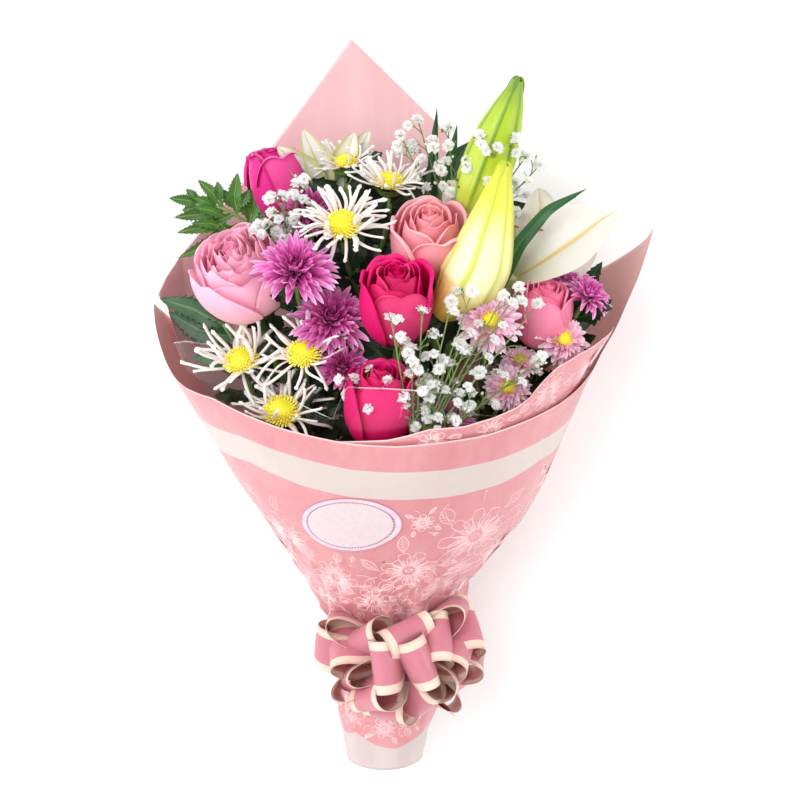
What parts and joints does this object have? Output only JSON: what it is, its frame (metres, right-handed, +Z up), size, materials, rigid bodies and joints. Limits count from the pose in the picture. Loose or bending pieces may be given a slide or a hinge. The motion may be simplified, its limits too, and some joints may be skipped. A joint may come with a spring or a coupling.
{
  "type": "mixed flower bouquet",
  "caption": "Hand-tied mixed bouquet lying on its back: roses, lilies, chrysanthemums and gypsophila in a pink film cone with a ribbon bow and a blank oval label.",
  "frame": {"origin": "centre of the footprint, on the surface it lies on", "axes": "+Z up, out of the front of the wrap, +Y from the stem end toward the flower heads, +X to the right seen from the front"},
  "size_m": [0.3526, 0.533, 0.1969],
  "materials": {
    "petal_rose_pale": "matte",
    "petal_rose_magenta": "matte",
    "petal_rose_salmon": "matte",
    "petal_rose_hot": "matte",
    "petal_rose_pink": "matte",
    "petal_purple": "matte",
    "petal_lilac": "matte",
    "petal_cream": "matte",
    "lily_bud_yellow": "satin",
    "lily_bud_green": "satin",
    "petal_lily_white": "satin",
    "gypsophila_white": "matte",
    "stem_green": "satin",
    "leaf_green": "satin",
    "film_pink": "gloss",
    "film_pink_print": "gloss",
    "film_pink_back": "gloss",
    "film_clear": "gloss",
    "ribbon_dusty_pink": "satin",
    "label_paper": "matte"
  },
  "bodies": {
    "root": {"daisy_pink_low": "petal_lilac", "daisy_pink_mid": "petal_lilac", "daisy_pink_right": "petal_lilac", "daisy_pink_small": "petal_lilac", "fern_upper_left": "leaf_green", "filler_leaves_back": "leaf_green", "filler_leaves_front": "leaf_green", "gypsophila_left": "gypsophila_white", "gypsophila_right": "gypsophila_white", "gypsophila_top": "gypsophila_white", "label_oval": "label_paper", "leaf_lower_left": "leaf_green", "leaf_right": "leaf_green", "lily_back": "petal_lily_white", "lily_bud_back": "lily_bud_green", "lily_bud_front": "lily_bud_yellow", "lily_leaf_right": "leaf_green", "lily_leaves": "leaf_green", "lily_open": "petal_lily_white", "mum_purple_back": "petal_purple", "mum_purple_low": "petal_purple", "mum_purple_mid": "petal_purple", "mum_purple_right": "petal_purple", "mum_purple_right_low": "petal_purple", "mum_purple_rim": "petal_purple", "mum_purple_top": "petal_purple", "ribbon_bow": "ribbon_dusty_pink", "ribbon_tie": "ribbon_dusty_pink", "rose_hotpink": "petal_rose_hot", "rose_hotpink_low": "petal_rose_hot", "rose_magenta": "petal_rose_magenta", "rose_palepink": "petal_rose_pale", "rose_pink_right": "petal_rose_pink", "rose_salmon": "petal_rose_salmon", "spider_back": "petal_cream", "spider_centre": "petal_cream", "spider_left": "petal_cream", "spider_low": "petal_cream", "spider_peak": "petal_cream", "spider_top": "petal_cream", "stem_daisy": "stem_green", "stem_lily_back": "stem_green", "stem_lily_front": "stem_green", "stem_mum_purple_left": "stem_green", "stem_mum_purple_right": "stem_green", "stem_mum_purple_rim": "stem_green", "stem_rose_hotpink": "stem_green", "stem_rose_hotpink_low": "stem_green", "stem_rose_magenta": "stem_green", "stem_rose_palepink": "stem_green", "stem_rose_pink_right": "stem_green", "stem_rose_salmon": "stem_green", "stem_spider_lower": "stem_green", "stem_spider_upper": "stem_green", "wrap_back_sheet": "film_pink_back", "wrap_clear_liner": "film_clear", "wrap_inner_print": "film_pink_print", "wrap_outer": "film_pink"}
  },
  "joints": []
}
